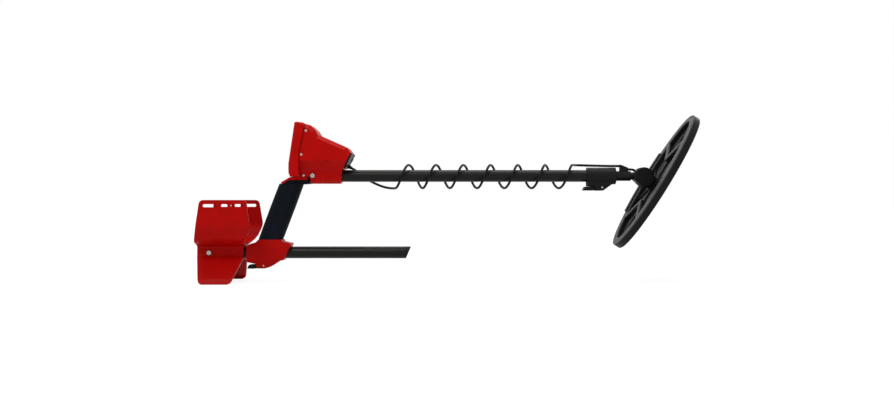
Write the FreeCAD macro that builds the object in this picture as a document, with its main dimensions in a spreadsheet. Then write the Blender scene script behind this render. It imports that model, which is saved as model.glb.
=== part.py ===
import FreeCAD, Part
import math
import os

import Sketcher

# Compact metal detector, millimetres. +X runs forward to the search coil, +Z up, and the feet of the armrest
# stand on Z = 0. Pieces of the upper half are drawn about the upper tube's axis at the control head, pieces of
# the foot about the lower tube's axis under the grip, and pieces of the coil about its tilt pin.

Vector = FreeCAD.Vector
Placement = FreeCAD.Placement
Rotation = FreeCAD.Rotation

SIZES = {
    "tube_outer": 22.0,
    "tube_wall": 1.5,
    "fit": 0.06,
    "seat_gap": 0.3,
    "lower_axis_height": 54.2,
    "axis_spacing": 141.3,
    "grip_base_x": -331.5,
    "grip_lean": 69.4,
    "grip_length_x": 44.5,
    "grip_width": 32.0,
    "core_length_x": 26.0,
    "core_width": 18.0,
    "core_seat": 9.0,
    "grip_foot_height": 24.1,
    "grip_head_drop": 14.5,
    "upper_tube_start": 31.0,
    "upper_tube_length": 532.0,
    "housing_width": 80.0,
    "housing_wall": 3.5,
    "shoulder": 7.0,
    "bezel_width": 88.0,
    "bezel_wall": 3.0,
    "bezel_bevel": 3.2,
    "collar_width": 38.0,
    "panel_thick": 3.0,
    "panel_width": 64.0,
    "window_width": 62.0,
    "window_height": 30.0,
    "window_thick": 2.0,
    "lcd_thick": 3.0,
    "board_thick": 1.6,
    "button_dia": 10.0,
    "button_stand": 1.6,
    "button_pitch_y": 21.0,
    "button_pitch_z": 14.0,
    "button_gap": 0.3,
    "button_flange": 1.2,
    "jack_bore": 6.4,
    "jack_outer": 12.0,
    "bolt_dia": 5.0,
    "bolt_head_dia": 8.0,
    "bolt_head_height": 3.0,
    "clamp_bolt_along": 41.3,
    "seam_screw_dia": 2.6,
    "lock_outer": 31.0,
    "lock_length": 53.0,
    "lock_tube_seat": 18.0,
    "lever_pin_dia": 3.4,
    "lever_width": 11.6,
    "lever_pad_width": 22.0,
    "lever_gap": 0.3,
    "lever_bottom": 5.6,
    "rod_lever_length": 35.0,
    "tube_lever_length": 30.5,
    "upper_pin_forward": 9.5,
    "upper_pin_drop": 21.4,
    "lower_pin_back": 11.7,
    "lower_pin_drop": 23.9,
    "rod_outer": 18.4,
    "rod_wall": 1.5,
    "rod_hidden": 366.0,
    "rod_shown": 28.0,
    "bush_length": 16.0,
    "neck_dia": 13.5,
    "neck_length": 5.0,
    "pivot_ahead": 23.6,
    "pivot_drop": 3.2,
    "knuckle_radius": 19.0,
    "yoke_width": 24.0,
    "rib_height": 1.2,
    "lug_width": 10.9,
    "lug_radius": 11.6,
    "washer_thick": 1.5,
    "pivot_bolt_dia": 8.0,
    "knob_dia": 20.0,
    "coil_lean": 58.8,
    "coil_length": 280.0,
    "coil_width": 180.0,
    "coil_forward": 6.0,
    "coil_below": 17.4,
    "frame_thick": 2.0,
    "shell_thick": 9.0,
    "skid_thick": 3.0,
    "floor_thick": 3.0,
    "rim_long": 14.0,
    "rim_wide": 24.0,
    "spine_clear": 28.0,
    "brace_width": 8.0,
    "spine_width": 6.0,
    "spine_drop": 3.0,
    "winding_height": 4.0,
    "winding_width": 3.4,
    "strip_height": 2.5,
    "foot_width": 37.0,
    "lower_tube_rear": 124.5,
    "lower_tube_length": 372.0,
    "plug_spigot": 14.0,
    "cap_thick": 2.5,
    "cuff_wall": 4.0,
    "cuff_half_width": 56.0,
    "cuff_top": 96.8,
    "cuff_floor": 15.4,
    "cuff_rear": 132.5,
    "cuff_fold": 53.0,
    "cuff_front": 26.5,
    "cuff_flare": 6.0,
    "foot_spread": 65.0,
    "slot_height": 5.5,
    "slot_drop": 10.2,
    "cuff_bolt_back": 110.5,
    "cable_dia": 4.5,
    "winding_pitch": 50.4,
    "winding_radius": 21.7,
    "winding_turns": 6.5,
    "winding_start": 191.5,
    "winding_drop": 1.2,
    "clip_length": 14.0,
}

doc = FreeCAD.newDocument("metal_detector")
sheet = doc.addObject("Spreadsheet::Sheet", "sizes")
sheet.Label = "sizes"
for row, (alias, value) in enumerate(SIZES.items(), start=1):
    sheet.set("A%d" % row, alias)
    sheet.set("B%d" % row, str(value))
    sheet.setAlias("B%d" % row, alias)
row = len(SIZES) + 1
for alias, formula in {
    "upper_axis_height": "=lower_axis_height + axis_spacing",
    "grip_rise": "=axis_spacing - grip_head_drop - grip_foot_height",
    "head_x": "=grip_base_x + (axis_spacing - grip_head_drop - grip_foot_height) / tan(grip_lean * 1deg)",
    "tube_end": "=upper_tube_start + upper_tube_length",
    "rod_end": "=upper_tube_start + upper_tube_length + lock_length - lock_tube_seat + rod_shown",
}.items():
    sheet.set("A%d" % row, alias)
    sheet.set("B%d" % row, formula)
    sheet.setAlias("B%d" % row, alias)
    row += 1
doc.recompute()


def value(alias):
    return float(sheet.get(alias))


V = {alias: value(alias) for alias in SIZES}
HEAD_X = value("head_x")
UPPER_Z = value("upper_axis_height")
LOWER_Z = V["lower_axis_height"]
TUBE_END = value("tube_end")
ROD_END = value("rod_end")
LOCK_START = TUBE_END - V["lock_tube_seat"]
LOCK_END = LOCK_START + V["lock_length"]
PIVOT_U = ROD_END + V["pivot_ahead"]
nodes = []


def new_body(label, group=None):
    """A named body, placed about the upper axis, the lower axis or the tilt pin."""
    body = doc.addObject("PartDesign::Body", label)
    body.Label = label
    if group == "upper":
        body.setExpression("Placement.Base.x", "sizes.head_x")
        body.setExpression("Placement.Base.z", "sizes.upper_axis_height")
    if group == "lower":
        body.setExpression("Placement.Base.x", "sizes.grip_base_x")
        body.setExpression("Placement.Base.z", "sizes.lower_axis_height")
    if group == "coil":
        body.Placement = Placement(
            Vector(HEAD_X + PIVOT_U, 0, UPPER_Z - V["pivot_drop"]),
            Rotation(Vector(0, 1, 0), -V["coil_lean"]),
        )
    nodes.append(body)
    return body


def new_sketch(body, plane, offset=None):
    """A sketch on one of the body's own origin planes, moved or turned by the offset."""
    sketch = body.newObject("Sketcher::SketchObject", body.Name + "_sketch")
    support = [f for f in body.Origin.OriginFeatures if f.Role == plane][0]
    sketch.AttachmentSupport = [(support, "")]
    sketch.MapMode = "FlatFace"
    if offset is not None:
        sketch.AttachmentOffset = offset
    return sketch


def outline(sketch, points, radius=0.0):
    """A closed outline whose corners are rounded by one radius, or by a third number on a point."""
    corners = []
    count = len(points)
    for i, p in enumerate(points):
        here = Vector(p[0], p[1], 0)
        before = Vector(points[i - 1][0], points[i - 1][1], 0)
        after = Vector(points[(i + 1) % count][0], points[(i + 1) % count][1], 0)
        r = p[2] if len(p) > 2 else radius
        a = (before - here).normalize()
        b = (after - here).normalize()
        half = a.getAngle(b) / 2
        if r <= 0 or half > 1.5:
            corners.append((here, here, None))
            continue
        back = r / math.tan(half)
        centre = here + (a + b).normalize() * (r / math.sin(half))
        middle = centre + (here - centre).normalize() * r
        corners.append((here + a * back, here + b * back, middle))
    pieces = []
    for i, (start, end, middle) in enumerate(corners):
        if middle is not None:
            pieces.append(Part.Arc(start, middle, end))
        following = corners[(i + 1) % count][0]
        if (following - end).Length > 1e-6:
            pieces.append(Part.LineSegment(end, following))
    sketch.addGeometry(pieces)


def box_outline(sketch, x0, y0, x1, y1, radius=0.0):
    outline(sketch, [(x0, y0), (x1, y0), (x1, y1), (x0, y1)], radius)


def circle(sketch, x, y, diameter):
    """A circle whose diameter is a formula of the sheet's values."""
    size = diameter if isinstance(diameter, (int, float)) else V[diameter.split(".")[1].split(" ")[0]]
    index = sketch.addGeometry(Part.Circle(Vector(x, y, 0), Vector(0, 0, 1), size / 2))
    named = sketch.addConstraint(Sketcher.Constraint("Diameter", index, size))
    sketch.addConstraint(Sketcher.Constraint("DistanceX", -1, 1, index, 3, x))
    sketch.addConstraint(Sketcher.Constraint("DistanceY", -1, 1, index, 3, y))
    if not isinstance(diameter, (int, float)):
        sketch.setExpression("Constraints[%d]" % named, diameter)


def ellipse(sketch, x, y, semi_long, semi_wide):
    major = Vector(x + semi_long, y, 0)
    minor = Vector(x, y + semi_wide, 0)
    sketch.addGeometry(Part.Ellipse(major, minor, Vector(x, y, 0)))


def extrude(body, kind, sketch, length, symmetric=False, reverse=False):
    """A pad or a pocket of a sketch; its length is a number or a formula of the sheet's values."""
    feature = body.newObject("PartDesign::" + kind, body.Name + "_" + kind.lower())
    feature.Profile = sketch
    if isinstance(length, str):
        feature.setExpression("Length", length)
    else:
        feature.Length = length
    if symmetric:
        feature.SideType = "Symmetric"
    feature.Reversed = reverse
    body.Tip = feature
    doc.recompute()
    if body.Shape.isNull() or body.Shape.Volume < 0.01:
        raise RuntimeError("%s: %s leaves nothing" % (body.Label, feature.Name))
    return feature


def pad(body, sketch, length, symmetric=False, reverse=False):
    return extrude(body, "Pad", sketch, length, symmetric, reverse)


def pocket(body, sketch, length, symmetric=False, reverse=False):
    """A pocket that has to take material away."""
    before = body.Shape.Volume
    feature = extrude(body, "Pocket", sketch, length, symmetric, reverse)
    if body.Shape.Volume > before - 0.01:
        raise RuntimeError("%s: a pocket cuts nothing" % body.Label)
    return feature


def trim(body, points, reach, radius=0.0):
    """Cuts away all that lies outside an outline drawn from the side."""
    sketch = new_sketch(body, "XZ_Plane")
    xs = [p[0] for p in points]
    zs = [p[1] for p in points]
    box_outline(sketch, min(xs) - reach, min(zs) - reach, max(xs) + reach, max(zs) + reach)
    outline(sketch, points, radius)
    return pocket(body, sketch, 4 * reach, symmetric=True)


def along_x(x):
    """Offset of a YZ sketch along the X axis."""
    return Placement(Vector(0, 0, x), Rotation())


def edges_where(body, test):
    """Names of the body's edges whose middle passes a test."""
    names = []
    for i, edge in enumerate(body.Shape.Edges, start=1):
        middle = edge.valueAt((edge.FirstParameter + edge.LastParameter) / 2)
        local = body.Placement.inverse().multVec(middle)
        direction = body.Placement.inverse().Rotation.multVec(
            edge.tangentAt((edge.FirstParameter + edge.LastParameter) / 2)
        )
        if test(local, direction):
            names.append("Edge%d" % i)
    return names


def dress(body, kind, size, test):
    """A fillet or a chamfer on the edges that pass a test."""
    names = edges_where(body, test)
    if not names:
        raise RuntimeError("%s: no edge to dress" % body.Label)
    base = body.Tip
    feature = body.newObject("PartDesign::" + kind, body.Name + "_" + kind.lower())
    feature.Base = (base, names)
    if kind == "Fillet":
        feature.Radius = size
    else:
        feature.Size = size
    body.Tip = feature
    doc.recompute()
    if body.Shape.isNull() or body.Shape.Volume < 0.01:
        raise RuntimeError("%s: %s leaves nothing" % (body.Label, feature.Name))
    return feature


def bevel(body, path, half, size, hollow=None):
    """Bevels both side edges along a path of the side view; the outside lies to the left of the path.

    Each cut runs on past its ends, but stops at the hollow corner, if the path has one.
    """
    cut = V[size]
    for i in range(len(path) - 1):
        (x0, z0), (x1, z1) = path[i][:2], path[i + 1][:2]
        run = math.hypot(x1 - x0, z1 - z0)
        along = Vector((x1 - x0) / run, 0, (z1 - z0) / run)
        before = 0 if i == hollow else 4
        after = 0 if hollow is not None and i == hollow - 1 else 4
        turn = Rotation(Vector(0, 1, 0), Vector(-along.z, 0, along.x), along, "ZXY")
        sketch = new_sketch(body, "XY_Plane", Placement(Vector(x0, 0, z0) - along * before, turn))
        for side in (1, -1):
            edge = side * half
            outline(sketch, [(edge - side * (cut + 1), 1), (edge + side, 1), (edge + side, -cut - 1)])
        pocket(body, sketch, run + before + after, reverse=True)


TUBE_BORE = V["tube_outer"] + 2 * V["fit"]
TUBE_INNER = V["tube_outer"] - 2 * V["tube_wall"]
ROD_INNER = V["rod_outer"] - 2 * V["rod_wall"]
SPIGOT_DIA = TUBE_INNER - 2 * V["fit"]
CROSS_HOLE = V["bolt_dia"] + 2 * V["fit"]
HOUSING_HALF = V["housing_width"] / 2
COLLAR_HALF = V["collar_width"] / 2

# Upper tube, with the cross hole for the clamp bolt.
upper_tube = new_body("upper_tube", "upper")
s = new_sketch(upper_tube, "YZ_Plane", along_x(V["upper_tube_start"]))
circle(s, 0, 0, "sizes.tube_outer")
circle(s, 0, 0, TUBE_INNER)
pad(upper_tube, s, "sizes.upper_tube_length")
s = new_sketch(upper_tube, "XZ_Plane")
circle(s, V["clamp_bolt_along"], 0, CROSS_HOLE)
pocket(upper_tube, s, 2 * V["tube_outer"], symmetric=True)

# Handle frame: the neck under the head, a spigot into the tube, and the bar through the grip into the foot.
BAR_FOOT = -V["axis_spacing"] + V["grip_foot_height"] - V["core_seat"]
SLOPE = 1 / math.tan(math.radians(V["grip_lean"]))


def bar_x(level):
    """X of the grip's axis at a level below the upper axis."""
    return (level + V["grip_head_drop"]) * SLOPE


def level_plane(x, level):
    """Offset of an XY sketch to a level, centred on x."""
    return Placement(Vector(x, 0, level), Rotation())


HEAD = -V["grip_head_drop"]
NECK_TOP = -2.1
COLLAR_START = 18.9
handle = new_body("handle_frame", "upper")
s = new_sketch(handle, "XZ_Plane")
outline(
    s,
    [(-13.6, HEAD + 0.4), (-18.2, HEAD + 0.4), (-17.2, -11.6), (-0.8, NECK_TOP), (COLLAR_START, NECK_TOP),
     (V["upper_tube_start"] - 0.3, NECK_TOP), (V["upper_tube_start"] - 0.3, -7.6), (-2.2, -7.6)],
)
pad(handle, s, 28.0, symmetric=True)
s = new_sketch(handle, "YZ_Plane", along_x(COLLAR_START))
circle(s, 0, 0, "sizes.tube_outer")
pad(handle, s, V["upper_tube_start"] - COLLAR_START)
s = new_sketch(handle, "YZ_Plane", along_x(V["upper_tube_start"] - 1))
circle(s, 0, 0, SPIGOT_DIA)
pad(handle, s, V["clamp_bolt_along"] - V["upper_tube_start"] + 17)
s = new_sketch(handle, "XZ_Plane")
circle(s, V["clamp_bolt_along"], 0, CROSS_HOLE)
pocket(handle, s, 2 * V["tube_outer"], symmetric=True)
foot_sketch = new_sketch(handle, "XY_Plane", level_plane(bar_x(BAR_FOOT), BAR_FOOT))
half_x = V["core_length_x"] / 2
half_y = V["core_width"] / 2
box_outline(foot_sketch, -half_x, -half_y, half_x, half_y, 7.0)
head_sketch = new_sketch(handle, "XY_Plane", level_plane(bar_x(-7.0), -7.0))
box_outline(head_sketch, -half_x, -half_y, half_x, half_y, 7.0)
bar = handle.newObject("PartDesign::AdditiveLoft", "handle_bar")
bar.Profile = foot_sketch
bar.Sections = [head_sketch]
bar.Ruled = True
handle.Tip = bar
doc.recompute()

# Soft sleeve over the bar, with its forward tongue under the tube.
sleeve = new_body("grip_sleeve", "upper")
SLEEVE_FOOT = -V["axis_spacing"] + V["grip_foot_height"]
half_x = V["grip_length_x"] / 2
half_y = V["grip_width"] / 2
sections = []
for share, swell in ((0.0, 1.0), (0.5, 1.02), (1.0, 1.0)):
    level = SLEEVE_FOOT + share * (HEAD - SLEEVE_FOOT)
    s = new_sketch(sleeve, "XY_Plane", level_plane(bar_x(level), level))
    box_outline(s, -half_x * swell, -half_y * swell, half_x * swell, half_y * swell, 13.0)
    sections.append(s)
body_loft = sleeve.newObject("PartDesign::AdditiveLoft", "sleeve_loft")
body_loft.Profile = sections[0]
body_loft.Sections = sections[1:]
sleeve.Tip = body_loft
doc.recompute()
s = new_sketch(sleeve, "XZ_Plane")
TONGUE_TOP = -V["tube_outer"] / 2 - V["seat_gap"]
outline(
    s,
    [(-13.4, HEAD), (-2.2, -7.9), (30.6, -7.9), (30.6, TONGUE_TOP), (36.8, TONGUE_TOP), (36.8, HEAD), (24, HEAD - 1),
     (0, HEAD - 1)],
)
pad(sleeve, s, 26.0, symmetric=True)
s = new_sketch(sleeve, "YZ_Plane", along_x(COLLAR_START - V["seat_gap"]))
circle(s, 0, 0, V["tube_outer"] + 2 * V["seat_gap"])
pocket(sleeve, s, 40.0, reverse=True)
CORE_GAP = 0.15
bore = []
for level in (SLEEVE_FOOT - 4, -2.0):
    s = new_sketch(sleeve, "XY_Plane", level_plane(bar_x(level), level))
    box_outline(
        s, -V["core_length_x"] / 2 - CORE_GAP, -V["core_width"] / 2 - CORE_GAP,
        V["core_length_x"] / 2 + CORE_GAP, V["core_width"] / 2 + CORE_GAP, 7.0 + CORE_GAP,
    )
    bore.append(s)
hollow = sleeve.newObject("PartDesign::SubtractiveLoft", "sleeve_bore")
hollow.Profile = bore[0]
hollow.Sections = [bore[1]]
hollow.Ruled = True
sleeve.Tip = hollow
doc.recompute()

# Control housing: a moulded shell with chamfered shoulders, tapering under a ledge to the collar on the tube.
SEAM_FOOT = (18.9, -1.8)
SEAM_KNEE = (18.9, 44.0)
SEAM_HEAD = (29.9, 93.6)
TIP = (114.9, 40.2)
PANEL_FOOT = (100.7, 12.5)
panel_run = math.hypot(TIP[0] - PANEL_FOOT[0], TIP[1] - PANEL_FOOT[1])
panel_dir = ((TIP[0] - PANEL_FOOT[0]) / panel_run, (TIP[1] - PANEL_FOOT[1]) / panel_run)
panel_out = (panel_dir[1], -panel_dir[0])
TIP_IN = (TIP[0] - V["panel_thick"] * panel_out[0], TIP[1] - V["panel_thick"] * panel_out[1])
FOOT_IN = (PANEL_FOOT[0] - V["panel_thick"] * panel_out[0], PANEL_FOOT[1] - V["panel_thick"] * panel_out[1])
housing = new_body("control_housing", "upper")
s = new_sketch(housing, "YZ_Plane", along_x(10))
top = 100.0
outline(
    s,
    [(-HOUSING_HALF, top), (-HOUSING_HALF, 27), (-HOUSING_HALF + 3, 25), (-COLLAR_HALF, 5), (-COLLAR_HALF, -8, 4),
     (-10, HEAD, 5), (10, HEAD, 5), (COLLAR_HALF, -8, 4), (COLLAR_HALF, 5), (HOUSING_HALF - 3, 25),
     (HOUSING_HALF, 27), (HOUSING_HALF, top)],
)
pad(housing, s, 110.0)
trim(
    housing,
    [SEAM_FOOT, (37.1, -1.8), (37.1, HEAD), (90.2, HEAD, 2), (93.1, -11.2, 2), (94.4, 10.0), FOOT_IN, TIP_IN,
     (105.4, 51), (52.3, 74.5), (47.6, 83.0), (38.6, 91.6), SEAM_HEAD, SEAM_KNEE],
    130.0,
)
bevel(
    housing, [SEAM_HEAD, (38.6, 91.6), (47.6, 83.0), (52.3, 74.5), (105.4, 51), TIP_IN], HOUSING_HALF,
    "shoulder", hollow=3,
)
s = new_sketch(housing, "YZ_Plane", along_x(0))
circle(s, 0, 0, TUBE_BORE)
pocket(housing, s, 130.0, reverse=True)
wall = V["housing_wall"]
s = new_sketch(housing, "XZ_Plane")
outline(
    s,
    [(10, 24.5 + wall), (12, 30), (18.9 + 3, 60), (27, 88.0), (34.4, 87.4), (46.2, 75.5), (50.0, 71.0), (100, 48.0),
     (106.0, 42.0), (99.5, 24.5 + wall)],
)
pocket(housing, s, "sizes.housing_width - 2 * sizes.housing_wall", symmetric=True)
s = new_sketch(housing, "XZ_Plane")
circle(s, V["clamp_bolt_along"], 0, CROSS_HOLE)
pocket(housing, s, 2 * V["collar_width"], symmetric=True)
s = new_sketch(housing, "XZ_Plane")
SPEAKER = (68.0, 42.5)
for i in range(5):
    box_outline(s, SPEAKER[0] - 9.5 + 4.2 * i, SPEAKER[1] - 8, SPEAKER[0] - 7.3 + 4.2 * i, SPEAKER[1] + 8, 1.0)
pocket(housing, s, V["housing_width"])

# Rear bezel: the face towards the user, with a window recess and six button holes.
FACE_FOOT = (0.3, 21.4)
FACE_HEAD = (11.3, 95.8)
face_run = math.hypot(FACE_HEAD[0] - FACE_FOOT[0], FACE_HEAD[1] - FACE_FOOT[1])
face_up = Vector((FACE_HEAD[0] - FACE_FOOT[0]) / face_run, 0, (FACE_HEAD[1] - FACE_FOOT[1]) / face_run)
face_out = Vector(-face_up.z, 0, face_up.x)
face_turn = Rotation(Vector(0, -1, 0), face_up, face_out, "ZXY")


def on_face(depth=0.0):
    """Offset of an XY sketch onto the bezel's face, sunk by a depth."""
    return Placement(Vector(FACE_FOOT[0], 0, FACE_FOOT[1]) - face_out * depth, face_turn)


WINDOW_Y = 52.0
BUTTONS = [
    (column * V["button_pitch_y"], 11.5 + line * V["button_pitch_z"])
    for line in (0, 1) for column in (-1, 0, 1)
]
BEZEL_HALF = V["bezel_width"] / 2
bezel = new_body("rear_bezel", "upper")
BACK = [(2.8, -2.0), (0.4, 5.3), FACE_FOOT, FACE_HEAD, (14.6, 97.2), (26.8, 95.6), SEAM_HEAD]
s = new_sketch(bezel, "XZ_Plane")
outline(s, BACK + [SEAM_KNEE, (SEAM_FOOT[0], -2.0)])
pad(bezel, s, "sizes.bezel_width", symmetric=True)
bevel(bezel, BACK, BEZEL_HALF, "bezel_bevel")
CAVITY_HALF = BEZEL_HALF - V["bezel_wall"] - 1.0
s = new_sketch(bezel, "XY_Plane", on_face(V["bezel_wall"]))
box_outline(s, -CAVITY_HALF, 5.0, CAVITY_HALF, 68.5, 3.0)
pocket(bezel, s, 60.0)
s = new_sketch(bezel, "XY_Plane", on_face())
half_w = V["window_width"] / 2 + 0.1
half_h = V["window_height"] / 2 + 0.1
box_outline(s, -half_w, WINDOW_Y - half_h, half_w, WINDOW_Y + half_h, 3.1)
pocket(bezel, s, "sizes.window_thick")
s = new_sketch(bezel, "XY_Plane", on_face())
box_outline(s, -half_w + 3, WINDOW_Y - half_h + 2.5, half_w - 3, WINDOW_Y + half_h - 2.5, 1.0)
pocket(bezel, s, 2 * V["bezel_wall"])
s = new_sketch(bezel, "XY_Plane", on_face())
for x, y in BUTTONS:
    circle(s, x, y, V["button_dia"] + 2 * V["button_gap"])
pocket(bezel, s, 2 * V["bezel_wall"])

window = new_body("display_window", "upper")
s = new_sketch(window, "XY_Plane", on_face(V["window_thick"]))
half_w = V["window_width"] / 2
half_h = V["window_height"] / 2
box_outline(s, -half_w, WINDOW_Y - half_h, half_w, WINDOW_Y + half_h, 3.0)
pad(window, s, "sizes.window_thick")

lcd = new_body("lcd_panel", "upper")
s = new_sketch(lcd, "XY_Plane", on_face(V["bezel_wall"]))
box_outline(s, -half_w + 1, WINDOW_Y - half_h + 1, half_w - 1, WINDOW_Y + half_h - 1, 0.5)
pad(lcd, s, "sizes.lcd_thick", reverse=True)

BOARD_DEPTH = V["bezel_wall"] + V["lcd_thick"]
board = new_body("main_board", "upper")
s = new_sketch(board, "XY_Plane", on_face(BOARD_DEPTH))
box_outline(s, -CAVITY_HALF + 0.3, 5.3, CAVITY_HALF - 0.3, 68.2, 3.0)
pad(board, s, "sizes.board_thick", reverse=True)
s = new_sketch(board, "XY_Plane", on_face(BOARD_DEPTH + V["board_thick"]))
box_outline(s, -30, 12, -12, 24)
box_outline(s, -4, 30, 8, 42)
box_outline(s, 14, 14, 32, 30)
pad(board, s, 1.2, reverse=True)

BUTTON_NAMES = ["menu_down", "pinpoint", "minus", "menu_up", "power", "plus"]
button_bodies = []
for name, (x, y) in zip(BUTTON_NAMES, BUTTONS):
    button = new_body("button_" + name)
    at = Placement(Vector(HEAD_X, 0, UPPER_Z), Rotation()).multiply(on_face())
    button.Placement = at.multiply(Placement(Vector(x, y, 0), Rotation()))
    s = new_sketch(button, "XY_Plane", Placement(Vector(0, 0, -V["bezel_wall"]), Rotation()))
    circle(s, 0, 0, "sizes.button_dia")
    pad(button, s, "sizes.bezel_wall + sizes.button_stand")
    dress(button, "Fillet", 0.8, lambda m, d: m.z > V["button_stand"] - 0.01)
    s = new_sketch(button, "XY_Plane", Placement(Vector(0, 0, -V["bezel_wall"]), Rotation()))
    circle(s, 0, 0, V["button_dia"] + 2 * V["button_gap"] + 1.6)
    pad(button, s, "sizes.button_flange", reverse=True)
    button_bodies.append(button)

# Battery pack on the housing's floor and the loudspeaker behind its slots.
FLOOR = 24.5 + V["housing_wall"]
battery = new_body("battery_pack", "upper")
s = new_sketch(battery, "XY_Plane", level_plane(0, FLOOR))
box_outline(s, 34, -30, 92, 2, 2.0)
pad(battery, s, 2.4)
for y in (-22.0, -6.5):
    s = new_sketch(battery, "YZ_Plane", along_x(37))
    circle(s, y, FLOOR + 8.6, 14.2)
    pad(battery, s, 50.0)
speaker = new_body("loudspeaker", "upper")
INNER_HALF = HOUSING_HALF - V["housing_wall"]
s = new_sketch(speaker, "XZ_Plane", Placement(Vector(0, 0, -INNER_HALF), Rotation()))
circle(s, SPEAKER[0], SPEAKER[1], 26.0)
pad(speaker, s, 4.0)
s = new_sketch(speaker, "XZ_Plane", Placement(Vector(0, 0, -INNER_HALF + 4), Rotation()))
circle(s, SPEAKER[0], SPEAKER[1], 14.0)
pad(speaker, s, 5.0)

# Front panel under the tip, with the headphone socket and the strain relief of the coil cable.
panel_turn = Rotation(
    Vector(0, 1, 0), Vector(panel_dir[0], 0, panel_dir[1]), Vector(panel_out[0], 0, panel_out[1]), "ZXY"
)


def on_panel(height=0.0):
    """Offset of an XY sketch onto the housing's slanted front, raised by a height."""
    x = FOOT_IN[0] + height * panel_out[0]
    z = FOOT_IN[1] + height * panel_out[1]
    return Placement(Vector(x, 0, z), panel_turn)


panel_half = V["panel_width"] / 2
front_panel = new_body("front_panel", "upper")
s = new_sketch(front_panel, "XY_Plane", on_panel())
outline(
    s,
    [(-22, 0.2), (22, 0.2), (panel_half, 13, 3), (panel_half, panel_run - 0.4, 2), (-panel_half, panel_run - 0.4, 2),
     (-panel_half, 13, 3)],
)
pad(front_panel, s, "sizes.panel_thick")
JACK = (21.0, 19.0)
s = new_sketch(front_panel, "XY_Plane", on_panel())
circle(s, JACK[0], JACK[1], V["jack_outer"] - 3)
pocket(front_panel, s, 2 * V["panel_thick"], reverse=True)
s = new_sketch(housing, "XY_Plane", on_panel(1.0))
circle(s, JACK[0], JACK[1], V["jack_outer"] - 3)
pocket(housing, s, 13.0)
jack = new_body("headphone_socket", "upper")
s = new_sketch(jack, "XY_Plane", on_panel(V["panel_thick"]))
circle(s, JACK[0], JACK[1], "sizes.jack_outer")
pad(jack, s, 1.0)
s = new_sketch(jack, "XY_Plane", on_panel(V["panel_thick"]))
circle(s, JACK[0], JACK[1], V["jack_outer"] - 3 - 2 * V["fit"])
pad(jack, s, V["panel_thick"] + 7, reverse=True)
s = new_sketch(jack, "XY_Plane", on_panel(V["panel_thick"] + 1))
circle(s, JACK[0], JACK[1], "sizes.jack_bore")
pocket(jack, s, 9.0)
RELIEF_UP = 6.0
RELIEF_SIDE = 13.5
RELIEF_LENGTH = 6.0
relief = new_body("box_strain_relief", "upper")
s = new_sketch(relief, "XY_Plane", on_panel(V["panel_thick"]))
circle(s, RELIEF_SIDE, RELIEF_UP, V["cable_dia"] + 3.0)
pad(relief, s, RELIEF_LENGTH / 2)
s = new_sketch(relief, "XY_Plane", on_panel(V["panel_thick"]))
circle(s, RELIEF_SIDE, RELIEF_UP, V["cable_dia"] + 1.6)
pad(relief, s, RELIEF_LENGTH)


def cross_bolt(label, group, x, z, half):
    """A bolt through the piece, head on the near side, and its nut on the far side."""
    bolt = new_body(label + "_bolt", group)
    sketch = new_sketch(bolt, "XZ_Plane", Placement(Vector(0, 0, half), Rotation()))
    circle(sketch, x, z, "sizes.bolt_head_dia")
    pad(bolt, sketch, "sizes.bolt_head_height")
    sketch = new_sketch(bolt, "XZ_Plane", Placement(Vector(0, 0, half), Rotation()))
    circle(sketch, x, z, "sizes.bolt_dia")
    pad(bolt, sketch, 2 * half + 4.5, reverse=True)
    sketch = new_sketch(bolt, "XZ_Plane", Placement(Vector(0, 0, half + V["bolt_head_height"]), Rotation()))
    circle(sketch, x, z, 0.45 * V["bolt_head_dia"])
    pocket(bolt, sketch, 1.8)
    nut = new_body(label + "_nut", group)
    sketch = new_sketch(nut, "XZ_Plane", Placement(Vector(0, 0, -half), Rotation()))
    flats = V["bolt_head_dia"] / math.sqrt(3)
    outline(sketch, [
        (x + flats * math.cos(math.radians(60 * k)), z + flats * math.sin(math.radians(60 * k))) for k in range(6)
    ])
    circle(sketch, x, z, "sizes.bolt_dia")
    pad(nut, sketch, 4.0, reverse=True)


cross_bolt("clamp", "upper", V["clamp_bolt_along"], 0, COLLAR_HALF)

# Six small screws along the seam, three on each side.
screws = new_body("seam_screws", "upper")
for x, z, half in ((32.0, 81.0, HOUSING_HALF), (23.6, 37.8, HOUSING_HALF), (24.6, 0.5, COLLAR_HALF)):
    s = new_sketch(housing, "XZ_Plane")
    circle(s, x, z, V["seam_screw_dia"])
    if half == HOUSING_HALF:
        pocket(housing, s, 2 * V["housing_width"], symmetric=True)
    else:
        pocket(housing, s, 2 * V["collar_width"], symmetric=True)
    for side in (1, -1):
        s = new_sketch(screws, "XZ_Plane", Placement(Vector(0, 0, side * half), Rotation()))
        circle(s, x, z, "sizes.seam_screw_dia * 1.7")
        pad(screws, s, 0.6, reverse=side < 0)
        s = new_sketch(screws, "XZ_Plane", Placement(Vector(0, 0, side * half), Rotation()))
        circle(s, x, z, V["seam_screw_dia"])
        pad(screws, s, 5.0, reverse=side > 0)


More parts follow.
